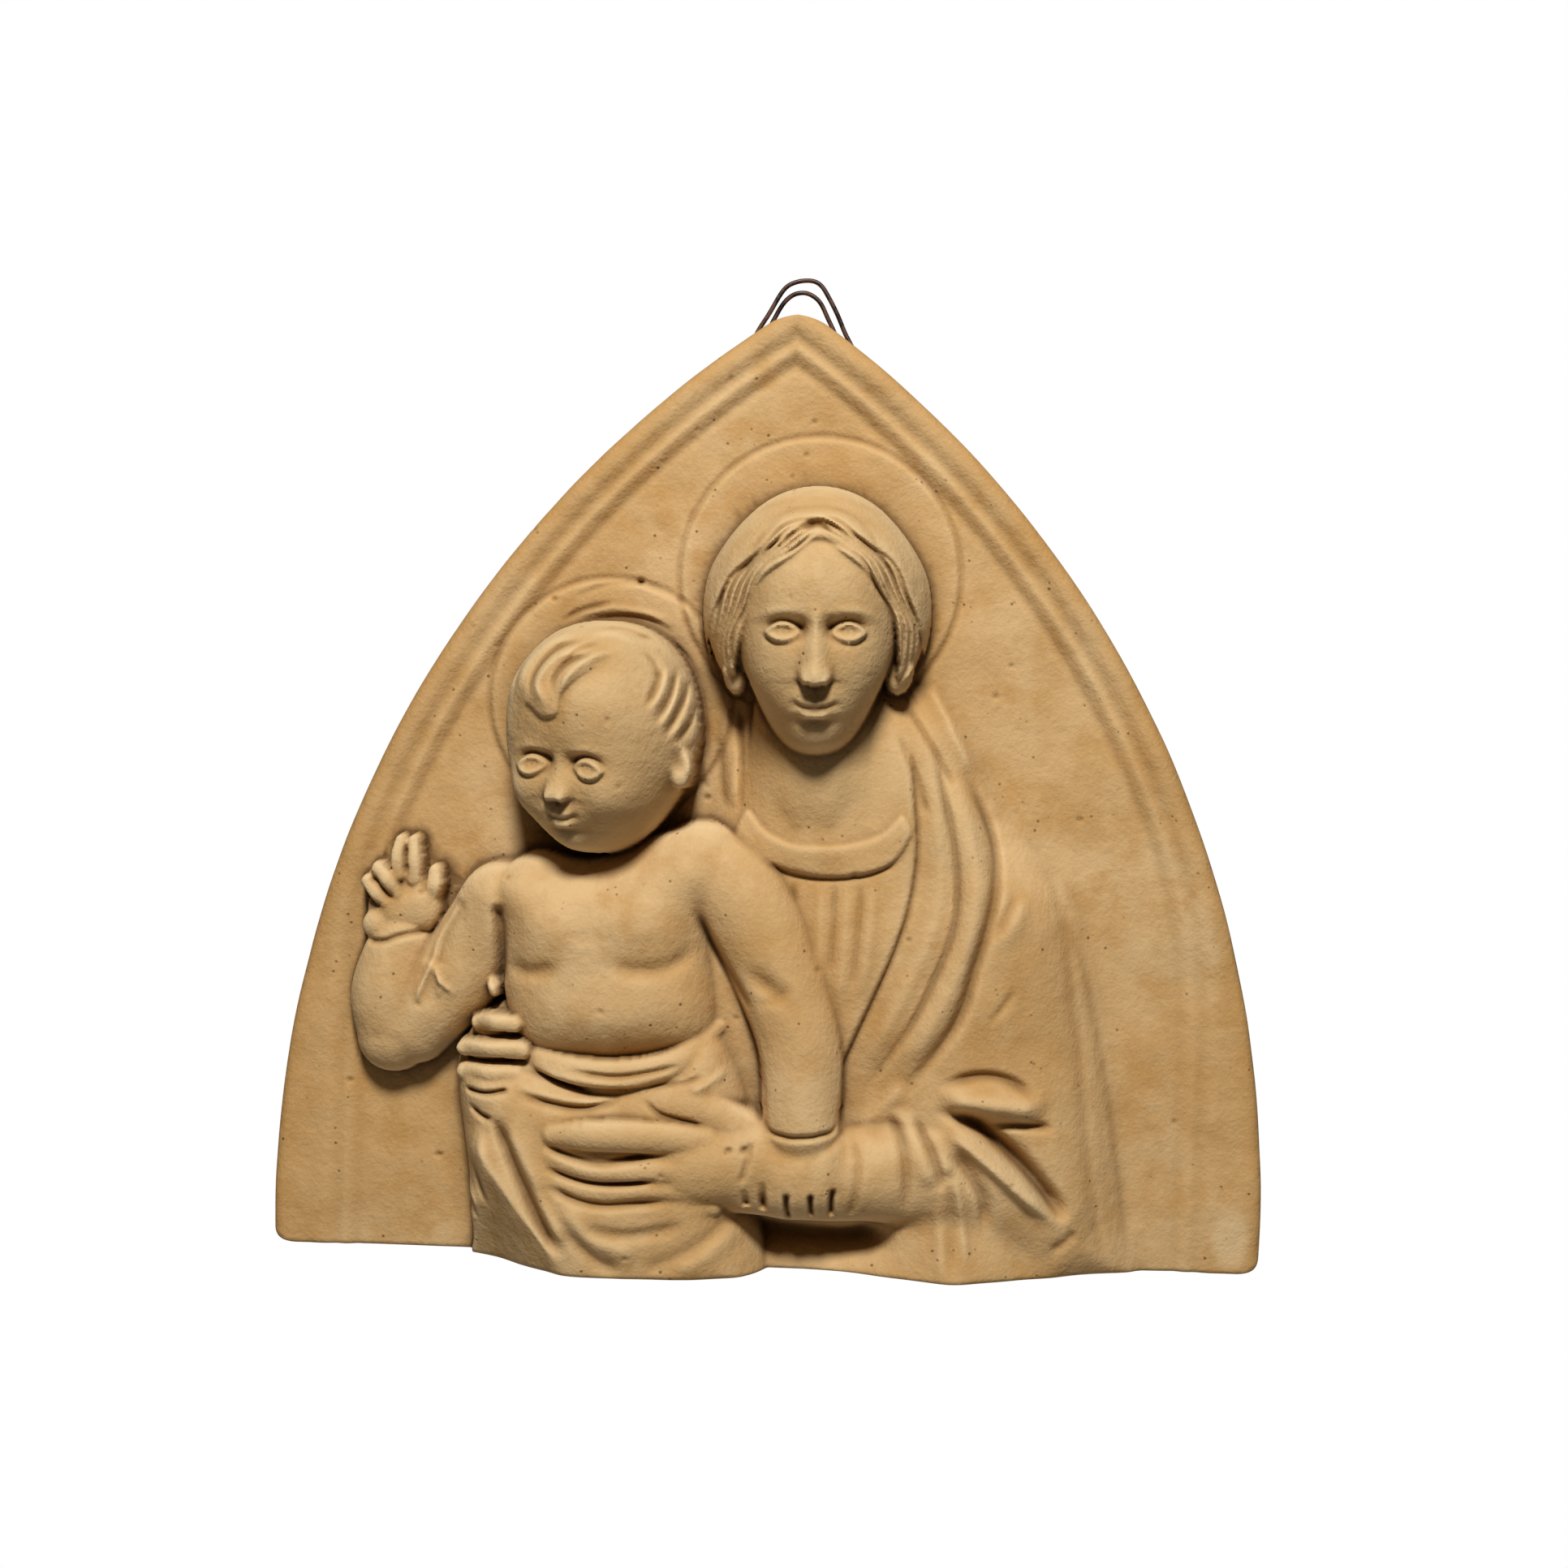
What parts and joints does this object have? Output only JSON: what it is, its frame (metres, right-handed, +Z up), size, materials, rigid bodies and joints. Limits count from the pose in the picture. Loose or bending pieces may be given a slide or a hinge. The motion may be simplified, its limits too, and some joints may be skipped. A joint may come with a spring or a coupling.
{
  "type": "decorative wall plaque",
  "caption": "Pointed-arch terracotta wall plaque with a high relief of a veiled mother and child with haloes, and a bent wire hanging loop at the top.",
  "frame": {"origin": "middle of the wall nail that the inner strand of the wire loop hangs on, on the wall plane", "axes": "+X to the viewer's right, +Y into the wall, +Z up; the relief faces -Y and the flat back lies on the plane y = 0"},
  "size_m": [0.3, 0.0597, 0.2974],
  "materials": {
    "terracotta": "unglazed buff fired clay, worn and lightly stained",
    "iron_wire": "dark annealed iron wire, lightly rusted"
  },
  "bodies": {
    "root": {"plaque": "terracotta", "hanging_wire": "iron_wire"}
  },
  "joints": []
}
